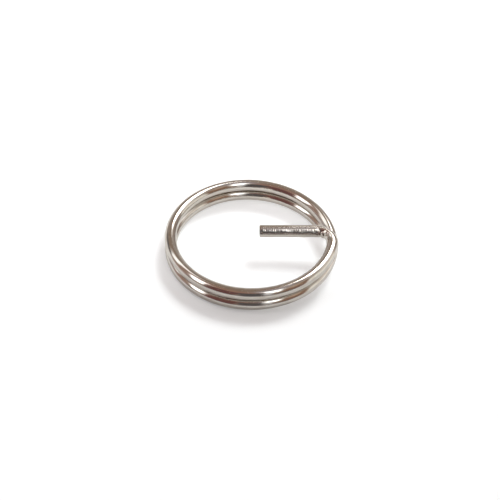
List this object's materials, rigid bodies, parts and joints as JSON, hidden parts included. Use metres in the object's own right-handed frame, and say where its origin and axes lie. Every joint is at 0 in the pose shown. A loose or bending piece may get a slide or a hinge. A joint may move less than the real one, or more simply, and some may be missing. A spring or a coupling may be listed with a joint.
{
  "type": "split key ring",
  "caption": "Split key ring of round nickel-plated spring wire: close-wound turns that spring apart to take a key, with the top end bent sharply inwards as a straight leg.",
  "frame": {"origin": "on the coil's axis, level with the lowest point of the ring, which is the underside of the lower wire end", "axes": "+Z along the coil's axis, from the lower wire end up to the leg; +X from the axis along the leg to the corner where it leaves the coil; +Y across the leg, towards the back of the ring"},
  "size_m": [0.025, 0.025, 0.0055],
  "materials": {
    "bright_wire": "bright, slightly warm nickel plate on drawn spring-steel wire, with faint lines along the wire",
    "worked_wire": "the same nickel plate, duller and grainy where the bending tool gripped the leg"
  },
  "bodies": {
    "lower_end": {"lower_turn_end": "bright_wire"},
    "lower_back": {"lower_turn_back": "bright_wire"},
    "lower_front": {"lower_turn_front": "bright_wire"},
    "middle": {"middle_half_turn": "bright_wire"},
    "upper_back": {"upper_turn_back": "bright_wire"},
    "upper_front": {"upper_turn_front": "bright_wire"},
    "upper_end": {"upper_turn_end": "bright_wire", "leg_bend": "worked_wire", "cross_leg": "worked_wire"}
  },
  "joints": [
    {"name": "upper_back_twist", "type": "hinge", "parent": "middle", "child": "upper_back", "pos_m": [0, 0.01165, 0.00313], "axis": [-0.9997, 0, 0.0259], "range_deg": [0, 4], "stiffness_Nm_per_rad": 0.002, "springref_deg": -8.59},
    {"name": "upper_left_twist", "type": "hinge", "parent": "upper_back", "child": "upper_front", "pos_m": [-0.01165, 0, 0.00361], "axis": [0, -0.9997, 0.0259], "range_deg": [0, 8], "stiffness_Nm_per_rad": 0.002, "springref_deg": -17.19},
    {"name": "upper_front_twist", "type": "hinge", "parent": "upper_front", "child": "upper_end", "pos_m": [0, -0.01165, 0.00408], "axis": [0.9997, 0, 0.0259], "range_deg": [0, 4], "stiffness_Nm_per_rad": 0.002, "springref_deg": -8.59},
    {"name": "lower_front_twist", "type": "hinge", "parent": "lower_front", "child": "middle", "pos_m": [0, -0.01165, 0.00218], "axis": [0.9997, 0, 0.0259], "range_deg": [0, 4], "stiffness_Nm_per_rad": 0.002, "springref_deg": -8.59},
    {"name": "lower_left_twist", "type": "hinge", "parent": "lower_back", "child": "lower_front", "pos_m": [-0.01165, 0, 0.0017], "axis": [0, -0.9997, 0.0259], "range_deg": [0, 8], "stiffness_Nm_per_rad": 0.002, "springref_deg": -17.19},
    {"name": "lower_back_twist", "type": "hinge", "parent": "lower_end", "child": "lower_back", "pos_m": [0, 0.01165, 0.00123], "axis": [-0.9997, 0, 0.0259], "range_deg": [0, 4], "stiffness_Nm_per_rad": 0.002, "springref_deg": -8.59}
  ],
  "couplings": [
    {"joint": "upper_back_twist", "follows": "upper_left_twist", "ratio": 0.5},
    {"joint": "upper_front_twist", "follows": "upper_left_twist", "ratio": 0.5},
    {"joint": "lower_front_twist", "follows": "lower_left_twist", "ratio": 0.5},
    {"joint": "lower_back_twist", "follows": "lower_left_twist", "ratio": 0.5}
  ]
}
